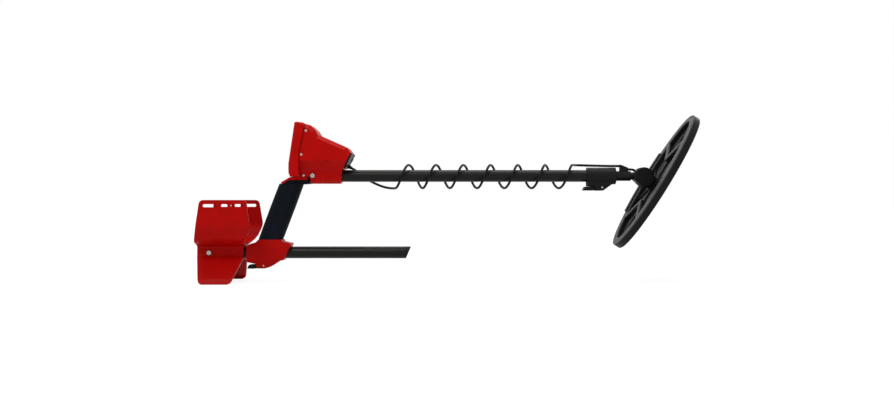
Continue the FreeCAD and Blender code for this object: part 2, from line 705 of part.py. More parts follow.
def cam_lever(label, group, x, z, length, reach):
    """An over-centre lever: hub and cam on the pin, a handle back along the tube, and a wide thumb pad."""
    lever = new_body(label, group)
    low = z - V["lever_bottom"]
    sketch = new_sketch(lever, "XZ_Plane")
    outline(
        sketch,
        [(x - 2, z + reach), (x + 2, z + reach), (x + 4.8, z + reach - 4, 3), (x + 5.2, low, 3.5),
         (x - length, low, 1.2), (x - length + 3.4, z + 1.6, 2), (x - 7.5, z + 2.4, 3), (x - 4.8, z + reach - 4, 2)],
    )
    pad(lever, sketch, "sizes.lever_width", symmetric=True)
    sketch = new_sketch(lever, "XZ_Plane")
    outline(
        sketch,
        [(x - length, low, 1.2), (x - length + 3.4, z + 1.6, 2), (x - 15, z + 1.6, 2), (x - 15, low, 2)],
    )
    pad(lever, sketch, "sizes.lever_pad_width", symmetric=True)
    sketch = new_sketch(lever, "XZ_Plane")
    circle(sketch, x, z, V["lever_pin_dia"] + 2 * V["fit"])
    pocket(lever, sketch, 2 * V["lever_pad_width"], symmetric=True)
    return lever


def lever_pin(label, group, x, z, length):
    pin = new_body(label, group)
    sketch = new_sketch(pin, "XZ_Plane")
    circle(sketch, x, z, "sizes.lever_pin_dia")
    pad(pin, sketch, length, symmetric=True)


# Lock collar: clamps the tube's end and guides the rod; its cheeks carry the lever.
UPPER_PIN = (TUBE_END + V["upper_pin_forward"], -V["upper_pin_drop"])
ROD_BORE = V["rod_outer"] + 2 * V["fit"]
SLOT_WIDTH = V["lever_width"] + 2 * V["lever_gap"]
collar = new_body("lock_collar", "upper")
s = new_sketch(collar, "YZ_Plane", along_x(LOCK_START))
circle(s, 0, 0, "sizes.lock_outer")
pad(collar, s, "sizes.lock_length")
low = UPPER_PIN[1] - V["lever_bottom"] - 0.3
s = new_sketch(collar, "XZ_Plane")
outline(
    s,
    [(LOCK_START, -6), (LOCK_END, -6), (LOCK_END, -10.4, 1), (UPPER_PIN[0] + 4.5, low + 2, 3), (UPPER_PIN[0], low, 2),
     (UPPER_PIN[0] - 11, low, 1), (UPPER_PIN[0] - 13.5, UPPER_PIN[1] + 2.2, 1), (LOCK_START, UPPER_PIN[1] + 2.2, 2)],
)
pad(collar, s, "sizes.lever_pad_width", symmetric=True)
dress(
    collar, "Fillet", 2.0,
    lambda m, d: abs(abs(m.y) - V["lever_pad_width"] / 2) < 0.01 and m.x > UPPER_PIN[0] + 6 and m.x < LOCK_END - 1
    and abs(d.y) < 0.1 and m.z < -11.5,
)
s = new_sketch(collar, "YZ_Plane", along_x(LOCK_START - 1))
circle(s, 0, 0, ROD_BORE)
pocket(collar, s, V["lock_length"] + 10, reverse=True)
s = new_sketch(collar, "YZ_Plane", along_x(LOCK_START - 1))
circle(s, 0, 0, TUBE_BORE)
pocket(collar, s, TUBE_END - LOCK_START + 1, reverse=True)
s = new_sketch(collar, "XZ_Plane")
box_outline(s, UPPER_PIN[0] - 40, -40, UPPER_PIN[0] + 8.5, -8)
pocket(collar, s, SLOT_WIDTH, symmetric=True)
s = new_sketch(collar, "XZ_Plane")
circle(s, UPPER_PIN[0], UPPER_PIN[1], V["lever_pin_dia"])
pocket(collar, s, 60.0, symmetric=True)
UPPER_CAM = V["upper_pin_drop"] - V["rod_outer"] / 2 - V["lever_gap"]
cam_lever("rod_lever", "upper", UPPER_PIN[0], UPPER_PIN[1], V["rod_lever_length"], UPPER_CAM)
lever_pin("rod_lever_pin", "upper", UPPER_PIN[0], UPPER_PIN[1], V["lever_pad_width"])

# Lower rod: a smaller tube with two key grooves, a bush on its hidden end and the yoke in its shown end.
ROD_START = LOCK_END - V["rod_hidden"]
rod = new_body("lower_rod", "upper")
s = new_sketch(rod, "YZ_Plane", along_x(ROD_START))
circle(s, 0, 0, "sizes.rod_outer")
circle(s, 0, 0, ROD_INNER)
pad(rod, s, "sizes.rod_hidden + sizes.rod_shown")
for z in (2.4, 6.0):
    s = new_sketch(rod, "XZ_Plane", Placement(Vector(0, 0, math.sqrt((V["rod_outer"] / 2) ** 2 - z * z) - 0.5), Rotation()))
    box_outline(s, ROD_START + 30, z - 0.9, ROD_END - 2, z + 0.9, 0.8)
    pocket(rod, s, 6.0, reverse=True)
bush = new_body("rod_bush", "upper")
s = new_sketch(bush, "YZ_Plane", along_x(ROD_START))
circle(s, 0, 0, SPIGOT_DIA)
pad(bush, s, 3.0, reverse=True)
s = new_sketch(bush, "YZ_Plane", along_x(ROD_START))
circle(s, 0, 0, ROD_INNER - 2 * V["fit"])
pad(bush, s, "sizes.bush_length")

PIVOT = (PIVOT_U, -V["pivot_drop"])
SLOT = V["lug_width"] + 2 * V["washer_thick"] + 0.1
yoke = new_body("rod_yoke", "upper")
s = new_sketch(yoke, "YZ_Plane", along_x(ROD_END - 20))
circle(s, 0, 0, ROD_INNER - 2 * V["fit"])
pad(yoke, s, 20.0)
s = new_sketch(yoke, "YZ_Plane", along_x(ROD_END))
circle(s, 0, 0, "sizes.neck_dia")
pad(yoke, s, V["neck_length"] + 3)
s = new_sketch(yoke, "XZ_Plane")
circle(s, PIVOT[0], PIVOT[1], 2 * V["knuckle_radius"])
pad(yoke, s, "sizes.yoke_width", symmetric=True)
RADIUS = V["knuckle_radius"]
dress(
    yoke, "Chamfer", 1.5,
    lambda m, d: abs(abs(m.y) - V["yoke_width"] / 2) < 0.01 and abs(d.y) < 0.1,
)
s = new_sketch(yoke, "XZ_Plane")
outline(
    s,
    [(PIVOT[0] - RADIUS - 3, PIVOT[1] - 3.6 * RADIUS / 19), (PIVOT[0] - RADIUS + 2, PIVOT[1] - 5.0),
     (PIVOT[0] - 3.0, PIVOT[1] - RADIUS + 0.6), (PIVOT[0] - 3.0, PIVOT[1] - RADIUS - 4),
     (PIVOT[0] - RADIUS - 3, PIVOT[1] - RADIUS - 4)],
)
pocket(yoke, s, 2 * V["yoke_width"], symmetric=True)
s = new_sketch(yoke, "XZ_Plane")
box_outline(s, PIVOT[0] - V["lug_radius"] - 0.6, PIVOT[1] - 30, PIVOT[0] + 30, PIVOT[1] + 30)
pocket(yoke, s, SLOT, symmetric=True)
PIVOT_BORE = V["pivot_bolt_dia"] + 2 * V["fit"]
BLIND = V["yoke_width"] / 2 - 1.5
s = new_sketch(yoke, "XZ_Plane", Placement(Vector(0, 0, BLIND), Rotation()))
circle(s, PIVOT[0], PIVOT[1], PIVOT_BORE)
pocket(yoke, s, 60.0)
s = new_sketch(yoke, "XZ_Plane", Placement(Vector(0, 0, V["yoke_width"] / 2 - 0.5), Rotation()))
for k in range(4):
    x = -11.0 + 6.5 * k
    high = math.sqrt((RADIUS - 2) ** 2 - x * x)
    deep = high if x > -4 else min(high, RADIUS - 6 + x * 0.75)
    box_outline(s, PIVOT[0] + x - 1.5, PIVOT[1] - deep, PIVOT[0] + x + 1.5, PIVOT[1] + high, 0.8)
pad(yoke, s, 0.5 + V["rib_height"])

washers = new_body("yoke_washers", "upper")
for side in (1, -1):
    s = new_sketch(washers, "XZ_Plane", Placement(Vector(0, 0, side * SLOT / 2), Rotation()))
    circle(s, PIVOT[0], PIVOT[1], 2 * V["lug_radius"] - 1)
    circle(s, PIVOT[0], PIVOT[1], PIVOT_BORE)
    pad(washers, s, "sizes.washer_thick", reverse=side > 0)

bolt = new_body("coil_bolt", "upper")
s = new_sketch(bolt, "XZ_Plane", Placement(Vector(0, 0, BLIND - 0.2), Rotation()))
circle(s, PIVOT[0], PIVOT[1], "sizes.pivot_bolt_dia")
pad(bolt, s, BLIND - 0.2 + V["yoke_width"] / 2 + 8, reverse=True)
knob = new_body("coil_knob", "upper")
s = new_sketch(knob, "XZ_Plane", Placement(Vector(0, 0, -V["yoke_width"] / 2 - 0.1), Rotation()))
circle(s, PIVOT[0], PIVOT[1], "sizes.knob_dia")
pad(knob, s, 11.0, reverse=True)
s = new_sketch(knob, "XZ_Plane", Placement(Vector(0, 0, -V["yoke_width"] / 2), Rotation()))
for k in range(8):
    turn = math.radians(45 * k)
    reach = V["knob_dia"] / 2 + 1.2
    circle(s, PIVOT[0] + reach * math.cos(turn), PIVOT[1] + reach * math.sin(turn), 5.0)
pocket(knob, s, 30.0)
s = new_sketch(knob, "XZ_Plane", Placement(Vector(0, 0, -V["yoke_width"] / 2), Rotation()))
circle(s, PIVOT[0], PIVOT[1], "sizes.pivot_bolt_dia")
pocket(knob, s, 8.0)

# Clip on the rod, where the cable changes from the tube to the coil.
CLIP_FRONT = ROD_END - 6.0
CLIP_REAR = CLIP_FRONT - V["clip_length"]
RUN_LEVEL = 18.3
clip = new_body("cable_clip", "upper")
s = new_sketch(clip, "XZ_Plane")
outline(
    s,
    [(CLIP_REAR, 0), (CLIP_FRONT + 1, 0), (CLIP_FRONT + 1, 15.2, 1.5), (CLIP_REAR, RUN_LEVEL + 3.0, 1)],
)
pad(clip, s, 10.0, symmetric=True)
TAIL_TURN = math.radians(38.5)
tail_dir = Vector(math.cos(TAIL_TURN), math.sin(TAIL_TURN), 0)
TAIL_AT = Vector(CLIP_FRONT, 3.0, 12.4)
s = new_sketch(clip, "XY_Plane", level_plane(0, 0))
side_dir = Vector(-tail_dir.y, tail_dir.x, 0)
corner = [TAIL_AT + side_dir * 20, TAIL_AT - side_dir * 20]
far = [corner[1] + tail_dir * 20, corner[0] + tail_dir * 20]
outline(s, [(p.x, p.y) for p in corner + far])
pocket(clip, s, 60.0, reverse=True)
s = new_sketch(clip, "YZ_Plane", along_x(CLIP_REAR - 1))
circle(s, 0, 0, V["rod_outer"])
pocket(clip, s, 60.0, reverse=True)

# Search coil, drawn flat about the tilt pin: x along its length, z out of its face.
FACE = -V["coil_below"]
SHELL_TOP = FACE - V["frame_thick"]
SHELL_FOOT = SHELL_TOP - V["shell_thick"]
COIL_FLOOR = SHELL_FOOT + V["floor_thick"]
CENTRE = V["coil_forward"]
LONG = V["coil_length"] / 2
WIDE = V["coil_width"] / 2


def flat(level):
    """Offset of an XY sketch to a level of the coil."""
    return Placement(Vector(0, 0, level), Rotation())


def strip(sketch, x0, y0, x1, y1, width):
    """A straight bar between two points."""
    run = math.hypot(x1 - x0, y1 - y0)
    a = -(y1 - y0) / run * width / 2
    b = (x1 - x0) / run * width / 2
    outline(sketch, [(x0 + a, y0 + b), (x0 - a, y0 - b), (x1 - a, y1 - b), (x1 + a, y1 + b)])


WINDOW_LONG = LONG - V["rim_long"]
WINDOW_WIDE = WIDE - V["rim_wide"]
SPINE_HALF = WINDOW_LONG - V["spine_clear"]
ARMS = []
for end in (1, -1):
    for side in (1, -1):
        reach_x = 86.0 * LONG / 140
        reach_y = (WINDOW_WIDE + WIDE) / 2 * math.sqrt(1 - (reach_x / (LONG - 6)) ** 2) + 3
        ARMS.append((CENTRE + end * 45.0, -side * 2.0, CENTRE + end * reach_x, side * reach_y))

shell = new_body("coil_shell", "coil")
s = new_sketch(shell, "XY_Plane", flat(SHELL_FOOT))
ellipse(s, CENTRE, 0, LONG, WIDE)
pad(shell, s, "sizes.shell_thick")
s = new_sketch(shell, "XY_Plane", flat(SHELL_TOP))
ellipse(s, CENTRE, 0, WINDOW_LONG, WINDOW_WIDE)
pocket(shell, s, "sizes.shell_thick - sizes.floor_thick")
for arm in ARMS:
    s = new_sketch(shell, "XY_Plane", flat(COIL_FLOOR - 0.5))
    strip(s, *arm, V["brace_width"])
    pad(shell, s, SHELL_TOP - COIL_FLOOR + 0.5)
s = new_sketch(shell, "XY_Plane", flat(COIL_FLOOR - 0.5))
box_outline(s, CENTRE - SPINE_HALF, -V["spine_width"] / 2, CENTRE + SPINE_HALF, V["spine_width"] / 2, 2.0)
pad(shell, s, SHELL_TOP - V["spine_drop"] - COIL_FLOOR + 0.5)
for x, y in ((-34, -64), (-17, -66), (0, -67), (17, -66), (34, -64), (-34, 64), (34, 64)):
    s = new_sketch(shell, "XY_Plane", flat(COIL_FLOOR - 0.5))
    strip(s, 0, 0, x, y, 2.4)
    pad(shell, s, SHELL_TOP - V["spine_drop"] - COIL_FLOOR + 0.5)
s = new_sketch(shell, "XZ_Plane")
radius = V["lug_radius"]
outline(s, [(-radius, COIL_FLOOR - 1), (radius, COIL_FLOOR - 1), (radius, radius, radius - 0.01),
            (-radius, radius, radius - 0.01)])
pad(shell, s, "sizes.lug_width", symmetric=True)
s = new_sketch(shell, "XZ_Plane")
circle(s, 0, 0, PIVOT_BORE)
pocket(shell, s, 60.0, symmetric=True)
s = new_sketch(shell, "XY_Plane", flat(SHELL_FOOT))
ellipse(s, CENTRE, 0, LONG - 2.5, WIDE - 2.5)
ellipse(s, CENTRE, 0, LONG - 3.5 - 2 * V["winding_width"], WIDE - 3.5 - 2 * V["winding_width"])
pocket(shell, s, V["winding_height"] + 0.3, reverse=True)

frame = new_body("coil_frame", "coil")
s = new_sketch(frame, "XY_Plane", flat(SHELL_TOP))
ellipse(s, CENTRE, 0, LONG - 0.8, WIDE - 0.8)
ellipse(s, CENTRE, 0, WINDOW_LONG, WINDOW_WIDE)
pad(frame, s, "sizes.frame_thick")
for arm in ARMS:
    s = new_sketch(frame, "XY_Plane", flat(SHELL_TOP))
    strip(s, *arm, V["brace_width"])
    pad(frame, s, "sizes.frame_thick")

skid = new_body("skid_plate", "coil")
s = new_sketch(skid, "XY_Plane", flat(SHELL_FOOT))
ellipse(s, CENTRE, 0, LONG, WIDE)
pad(skid, s, "sizes.skid_thick", reverse=True)
dress(skid, "Chamfer", 1.6, lambda m, d: m.z < SHELL_FOOT - V["skid_thick"] + 0.01)

for label, inset in (("transmit_winding", 2.7), ("receive_winding", 2.9 + V["winding_width"])):
    winding = new_body(label, "coil")
    s = new_sketch(winding, "XY_Plane", flat(SHELL_FOOT))
    ellipse(s, CENTRE, 0, LONG - inset, WIDE - inset)
    ellipse(s, CENTRE, 0, LONG - inset - V["winding_width"] + 0.1, WIDE - inset - V["winding_width"] + 0.1)
    pad(winding, s, "sizes.winding_height")

channel = new_body("channel_cover", "coil")
s = new_sketch(channel, "XY_Plane", flat(FACE))
ellipse(s, CENTRE, 0, LONG - 1.2, WIDE - 1.2)
ellipse(s, CENTRE, 0, LONG - 14, WIDE - 14)
pad(channel, s, "sizes.strip_height")
s = new_sketch(channel, "XY_Plane", flat(FACE - 1))
box_outline(s, -2 * LONG, -2 * WIDE, 2 * LONG, 2 * WIDE)
box_outline(s, CENTRE - 70, 5, CENTRE + 60, 1.5 * WIDE)
pocket(channel, s, 20.0, reverse=True)

GLAND_Y = 33.0
gland = new_body("coil_gland", "coil")
s = new_sketch(gland, "XY_Plane", flat(COIL_FLOOR))
circle(s, 0, GLAND_Y, V["cable_dia"] + 5.0)
pad(gland, s, 3.0)
s = new_sketch(gland, "XY_Plane", flat(COIL_FLOOR))
circle(s, 0, GLAND_Y, V["cable_dia"] + 2.0)
pad(gland, s, FACE - COIL_FLOOR)

# Foot under the grip: a faceted moulding that takes the handle's bar and guides the lower tube.
foot = new_body("lower_housing", "lower")
TOP = V["grip_foot_height"]
FOOT_HALF = V["foot_width"] / 2
s = new_sketch(foot, "YZ_Plane", along_x(-50))
outline(
    s,
    [(-16, TOP), (-FOOT_HALF, 11), (-FOOT_HALF, -12), (-11, -27.7), (11, -27.7), (FOOT_HALF, -12), (FOOT_HALF, 11),
     (16, TOP)],
)
pad(foot, s, 100.0)
LOWER_PIN = (-V["lower_pin_back"], -V["lower_pin_drop"])
low = LOWER_PIN[1] - V["lever_bottom"] + 1.8
trim(
    foot,
    [(-41.7, -17.2, 1), (-41.7, 12, 1), (-38.4, 14.8, 2), (-32.9, 17.2, 3), (-25.4, 19, 4), (-20.4, TOP),
     (22.6, TOP), (24.0, 20.5, 3), (40, 16.6, 1), (27.9, -10.5, 1), (24, -14.2, 1), (19.5, -13.8, 1),
     (3.5, -24.4, 2), (-2.9, low, 3), (-24.0, low, 1), (-26.0, -20.4, 1)],
    60.0,
)
s = new_sketch(foot, "YZ_Plane", along_x(-60))
circle(s, 0, 0, TUBE_BORE)
pocket(foot, s, 150.0, reverse=True)
socket = []
for level in (TOP - V["core_seat"] - 0.2, TOP + 4):
    s = new_sketch(foot, "XY_Plane", level_plane((level - TOP) * SLOPE, level))
    box_outline(
        s, -V["core_length_x"] / 2 - CORE_GAP, -V["core_width"] / 2 - CORE_GAP,
        V["core_length_x"] / 2 + CORE_GAP, V["core_width"] / 2 + CORE_GAP, 7.0 + CORE_GAP,
    )
    socket.append(s)
cut = foot.newObject("PartDesign::SubtractiveLoft", "foot_socket")
cut.Profile = socket[0]
cut.Sections = [socket[1]]
cut.Ruled = True
foot.Tip = cut
doc.recompute()
s = new_sketch(foot, "XZ_Plane")
box_outline(s, -60, -40, LOWER_PIN[0] + 8.5, -9)
pocket(foot, s, SLOT_WIDTH, symmetric=True)
s = new_sketch(foot, "XZ_Plane")
circle(s, LOWER_PIN[0], LOWER_PIN[1], V["lever_pin_dia"])
pocket(foot, s, 60.0, symmetric=True)
LOWER_CAM = V["lower_pin_drop"] - V["tube_outer"] / 2 - V["lever_gap"]
cam_lever("tube_lever", "lower", LOWER_PIN[0], LOWER_PIN[1], V["tube_lever_length"], LOWER_CAM)
lever_pin("tube_lever_pin", "lower", LOWER_PIN[0], LOWER_PIN[1], 22.0)

# Lower tube with its rear cap and slanted front plug.
TUBE_REAR = -V["lower_tube_rear"]
TUBE_FRONT = TUBE_REAR + V["lower_tube_length"]
lower_tube = new_body("lower_tube", "lower")
s = new_sketch(lower_tube, "YZ_Plane", along_x(TUBE_REAR))
circle(s, 0, 0, "sizes.tube_outer")
circle(s, 0, 0, TUBE_INNER)
pad(lower_tube, s, "sizes.lower_tube_length")
s = new_sketch(lower_tube, "XZ_Plane")
circle(s, -V["cuff_bolt_back"], 0, CROSS_HOLE)
pocket(lower_tube, s, 2 * V["tube_outer"], symmetric=True)
plug = new_body("tube_plug", "lower")
s = new_sketch(plug, "YZ_Plane", along_x(TUBE_FRONT))
circle(s, 0, 0, "sizes.tube_outer")
pad(plug, s, 12.0)
s = new_sketch(plug, "XZ_Plane")
outline(s, [(TUBE_FRONT + 1.7, -12), (TUBE_FRONT + 11.9, 12), (TUBE_FRONT + 30, 12), (TUBE_FRONT + 30, -12)])
pocket(plug, s, 2 * V["tube_outer"], symmetric=True)
s = new_sketch(plug, "YZ_Plane", along_x(TUBE_FRONT))
circle(s, 0, 0, SPIGOT_DIA)
pad(plug, s, "sizes.plug_spigot", reverse=True)
cap = new_body("tube_rear_cap", "lower")
s = new_sketch(cap, "YZ_Plane", along_x(TUBE_REAR))
circle(s, 0, 0, "sizes.tube_outer")
pad(cap, s, "sizes.cap_thick", reverse=True)
s = new_sketch(cap, "YZ_Plane", along_x(TUBE_REAR))
circle(s, 0, 0, SPIGOT_DIA)
pad(cap, s, 10.0)

# Arm cuff: a cradle above the tube and splayed legs below, flared towards the front.
GROUND = -LOWER_Z


def cuff_section(flare):
    """Half outlines of the cuff's shell, left half first, then its mirror image."""
    top = V["cuff_top"]
    arm = V["cuff_half_width"] + flare
    wall = V["cuff_wall"]
    ring = V["tube_outer"] / 2 + wall
    spread = V["foot_spread"]
    outer = [
        (-arm, top), (-arm - 3, 50, 30), (-arm + 10, 21.5, 16), (-ring, 12.5, 5), (-ring, -5, 8),
        (-spread + 4, GROUND + 9, 14), (-spread, GROUND), (-spread + wall + 0.5, GROUND),
        (-spread + 8, GROUND + 7, 10), (-ring + 2.5, -13, 6),
    ]
    inner = [(-arm + wall, top), (-arm - 3 + wall, 50, 28), (-arm + 12, 25.5, 13), (-10, 17.0, 8)]
    left = inner[::-1] + outer
    right = [(-p[0],) + tuple(p[1:]) for p in left[::-1]]
    return left + right


cuff = new_body("arm_cuff", "lower")
sections = []
for back, flare in ((V["cuff_rear"] + 2, 0.0), (V["cuff_fold"], 0.0), (V["cuff_front"] - 2, V["cuff_flare"])):
    s = new_sketch(cuff, "YZ_Plane", along_x(-back))
    outline(s, cuff_section(flare))
    sections.append(s)
loft = cuff.newObject("PartDesign::AdditiveLoft", "cuff_loft")
loft.Profile = sections[0]
loft.Sections = sections[1:]
loft.Ruled = True
cuff.Tip = loft
doc.recompute()
trim(
    cuff,
    [(-118.2, V["cuff_top"], 8), (-33.6, V["cuff_top"], 8), (-26.5, 50, 30), (-34.0, 30, 12), (-47.5, 11, 8),
     (-47.5, -10, 10), (-61, GROUND, 10), (-117.1, GROUND, 8), (-132.5, -6, 10), (-132.5, 14, 6), (-125, 48, 40)],
    150.0,
)
s = new_sketch(cuff, "YZ_Plane", along_x(-V["cuff_rear"] - 10))
circle(s, 0, 0, TUBE_BORE)
pocket(cuff, s, 150.0, reverse=True)
s = new_sketch(cuff, "XZ_Plane")
SLOT_Z = V["cuff_top"] - V["slot_drop"]
for x0, x1 in ((-112.5, -85.5), (-79.5, -67.5), (-62.5, -38.5)):
    box_outline(s, x0, SLOT_Z - V["slot_height"] / 2, x1, SLOT_Z + V["slot_height"] / 2, 2.6)
pocket(cuff, s, 300.0, symmetric=True)
CUFF_SEAT = V["tube_outer"] / 2 + V["cuff_wall"]
s = new_sketch(cuff, "XZ_Plane")
circle(s, -V["cuff_bolt_back"], 0, CROSS_HOLE)
pocket(cuff, s, 2 * (V["tube_outer"] + 2 * V["cuff_wall"]), symmetric=True)
for side in (1, -1):
    s = new_sketch(cuff, "XZ_Plane", Placement(Vector(0, 0, side * CUFF_SEAT), Rotation()))
    circle(s, -V["cuff_bolt_back"], 0, 2 * (V["bolt_head_dia"] / math.sqrt(3) + V["seat_gap"]))
    pocket(cuff, s, 20.0, reverse=side > 0)
cross_bolt("cuff", "lower", -V["cuff_bolt_back"], 0, CUFF_SEAT)

# Coil cable: a lead from the box, a loose winding round the upper tube, a run to the clip and a tail to the coil.
CABLE = V["cable_dia"]


def rounded_path(points):
    """Straight runs joined by tangent arcs, each as large as its two runs allow."""
    edges = []
    start = points[0]
    radii = []
    for i in range(1, len(points) - 1):
        here = points[i]
        a = (points[i - 1] - here).normalize()
        b = (points[i + 1] - here).normalize()
        half = a.getAngle(b) / 2
        shorter = min((points[i - 1] - here).Length, (points[i + 1] - here).Length)
        radius = 0.45 * shorter / math.tan(math.pi / 2 - half)
        back = 0.45 * shorter
        centre = here + (a + b).normalize() * (radius / math.sin(half))
        middle = centre + (here - centre).normalize() * radius
        edges.append(Part.LineSegment(start, here + a * back).toShape())
        edges.append(Part.Arc(here + a * back, middle, here + b * back).toShape())
        start = here + b * back
        radii.append(round(radius, 1))
    edges.append(Part.LineSegment(start, points[-1]).toShape())
    return Part.Wire(edges), radii


def piped(label, wire, diameter):
    """A round cable swept along a wire of lines and arcs, as an object of its own."""
    first = wire.Edges[0]
    start = first.valueAt(first.FirstParameter)
    along = first.tangentAt(first.FirstParameter)
    if (wire.Vertexes[0].Point - start).Length > 1e-6:
        start = wire.Vertexes[0].Point
    profile = Part.Wire([Part.Circle(start, along, diameter / 2).toShape()])
    solid = wire.makePipeShell([profile], True, False)
    if solid.Volume < 0:
        solid.reverse()
    feature = doc.addObject("Part::Feature", label)
    feature.Label = label
    feature.Shape = solid
    feature.Placement = Placement(Vector(HEAD_X, 0, UPPER_Z), Rotation())
    nodes.append(feature)
    expected = math.pi * diameter ** 2 / 4 * wire.Length
    print("%s: length %.1f, volume over section times length %.4f" % (label, wire.Length, solid.Volume / expected))
    return feature


def biarc(start, along_start, end, along_end):
    """Two arcs that leave one point and reach the next along given directions."""
    chord = end - start
    both = along_start + along_end
    square = 4 - both.dot(both)
    linear = 2 * chord.dot(both)
    if abs(square) < 1e-9:
        reach = chord.dot(chord) / linear
    else:
        reach = (-linear + math.sqrt(linear ** 2 + 4 * square * chord.dot(chord))) / (2 * square)
    knee_start = start + along_start * reach
    knee_end = end - along_end * reach
    joint = (knee_start + knee_end) * 0.5
    arcs = []
    for a, knee, b in ((start, knee_start, joint), (joint, knee_end, end)):
        half_turn = (knee - a).getAngle(b - knee) / 2
        middle_chord = (a + b) * 0.5
        rise = (knee - middle_chord).Length * math.cos(half_turn) / (1 + math.cos(half_turn))
        arcs.append(Part.Arc(a, middle_chord + (knee - middle_chord).normalize() * rise, b).toShape())
    return arcs


W_RADIUS = V["winding_radius"]
W_PITCH = V["winding_pitch"]


def winding_point(turns):
    angle = 2 * math.pi * turns
    return Vector(
        V["winding_start"] + W_PITCH * turns, -W_RADIUS * math.sin(angle),
        -V["winding_drop"] - W_RADIUS * math.cos(angle),
    )


def winding_along(turns):
    angle = 2 * math.pi * turns
    around = 2 * math.pi * W_RADIUS
    return Vector(W_PITCH, -around * math.cos(angle), around * math.sin(angle)).normalize()


first_point = winding_point(0)
first_along = winding_along(0)
last_point = winding_point(V["winding_turns"])
last_along = winding_along(V["winding_turns"])
steps = int(round(4 * V["winding_turns"]))
edges = [Part.LineSegment(first_point - first_along * CABLE, first_point).toShape()]
for k in range(steps):
    edges += biarc(
        winding_point(k / 4), winding_along(k / 4), winding_point((k + 1) / 4), winding_along((k + 1) / 4)
    )
edges.append(Part.LineSegment(last_point, last_point + last_along * CABLE).toShape())
piped("cable_winding", Part.Wire(edges), CABLE)
samples = [winding_point(k / 90) for k in range(int(90 * V["winding_turns"]) + 1)]
gap = min(
    (samples[i] - samples[j]).Length - CABLE
    for i in range(0, len(samples), 3) for j in range(i + 45, len(samples), 3)
)
print("cable_winding: least gap to itself %.2f" % gap)

lead_end = first_point - first_along * CABLE
out = Vector(panel_out[0], 0, panel_out[1])
relief_at = on_panel(V["panel_thick"] + RELIEF_LENGTH).Base + Vector(
    RELIEF_UP * panel_dir[0], RELIEF_SIDE, RELIEF_UP * panel_dir[1]
)
lead_points = [
    relief_at,
    relief_at + out * 10.3,
    Vector(132.1, 17.1, -2.3),
    Vector(148.8, 20.9, -12.4),
    Vector(168.6, 26.3, -20.6),
    lead_end - first_along * 16.8,
    lead_end,
]
wire, radii = rounded_path(lead_points)
print("cable_lead: arc radii", radii)
piped("cable_lead", wire, CABLE)

run_start = last_point + last_along * CABLE
run_points = [
    run_start,
    run_start + last_along * 11.5,
    Vector(LOCK_END - 61.8, 26.1, 20.7),
    Vector(LOCK_END - 45.4, 28.5, 20.2),
    Vector(LOCK_END - 29.2, 19.8, 19.5),
    Vector(LOCK_END - 15.1, 5.6, 18.6),
    Vector(CLIP_REAR - 12, 0, RUN_LEVEL),
    Vector(CLIP_REAR, 0, RUN_LEVEL),
]
wire, radii = rounded_path(run_points)
print("cable_run: arc radii", radii)
piped("cable_run", wire, CABLE)

coil_turn = Rotation(Vector(0, 1, 0), -V["coil_lean"])
gland_top = coil_turn.multVec(Vector(0, GLAND_Y, FACE)) + Vector(PIVOT[0], 0, PIVOT[1])
gland_out = coil_turn.multVec(Vector(0, 0, 1))
tail_points = [
    TAIL_AT,
    TAIL_AT + tail_dir * 9,
    TAIL_AT + Vector(17.9, 17.5, -0.5),
    TAIL_AT + Vector(29.1, 27.5, -11.8),
    gland_top + gland_out * 8,
    gland_top,
]
wire, radii = rounded_path(tail_points)
print("cable_tail: arc radii", radii)
piped("cable_tail", wire, CABLE)

doc.recompute()
os.makedirs("parts", exist_ok=True)
for obj in doc.Objects:
    if "Invalid" in obj.State or "Error" in obj.State:
        raise RuntimeError("%s failed: %s" % (obj.Label, obj.State))
for node in nodes:
    shape = node.Shape
    if shape.isNull() or not shape.isValid():
        raise RuntimeError("%s has no valid shape" % node.Label)
    shape.exportStep("parts/%s.step" % node.Label)
    box = shape.BoundBox
    print("%-18s %2d solids %9.0f mm3  x %7.1f %7.1f  y %6.1f %6.1f  z %6.1f %6.1f" % (
        node.Label, len(shape.Solids), shape.Volume, box.XMin, box.XMax, box.YMin, box.YMax, box.ZMin, box.ZMax))
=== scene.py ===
"""A hobby metal detector seen square from its near side, on a white ground."""

import math

import bmesh
import bpy
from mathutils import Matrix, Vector


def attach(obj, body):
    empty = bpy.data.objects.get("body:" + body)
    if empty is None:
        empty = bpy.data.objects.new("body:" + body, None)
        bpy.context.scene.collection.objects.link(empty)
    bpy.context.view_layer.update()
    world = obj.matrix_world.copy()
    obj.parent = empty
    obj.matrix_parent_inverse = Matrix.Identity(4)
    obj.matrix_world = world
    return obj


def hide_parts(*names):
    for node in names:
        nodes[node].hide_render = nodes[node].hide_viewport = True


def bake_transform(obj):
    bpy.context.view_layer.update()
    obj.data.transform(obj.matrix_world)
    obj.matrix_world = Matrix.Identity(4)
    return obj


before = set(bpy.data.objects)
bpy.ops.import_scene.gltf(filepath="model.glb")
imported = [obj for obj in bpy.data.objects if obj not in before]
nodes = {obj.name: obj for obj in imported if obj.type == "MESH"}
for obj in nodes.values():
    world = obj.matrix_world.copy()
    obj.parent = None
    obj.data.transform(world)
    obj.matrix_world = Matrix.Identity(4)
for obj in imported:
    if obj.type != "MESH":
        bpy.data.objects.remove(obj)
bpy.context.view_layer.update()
scene = bpy.context.scene

# Materials


def link(tree, a, out, b, into):
    tree.links.new(a.outputs[out], b.inputs[into])


def noise(tree, coords, scale, detail=3.0, rough=0.55):
    """Noise in metres of the object's own frame, so a scale of 1000 has features of about 1 mm."""
    node = tree.nodes.new("ShaderNodeTexNoise")
    node.inputs["Scale"].default_value = scale
    node.inputs["Detail"].default_value = detail
    node.inputs["Roughness"].default_value = rough
    link(tree, coords, "Vector", node, "Vector")
    return node


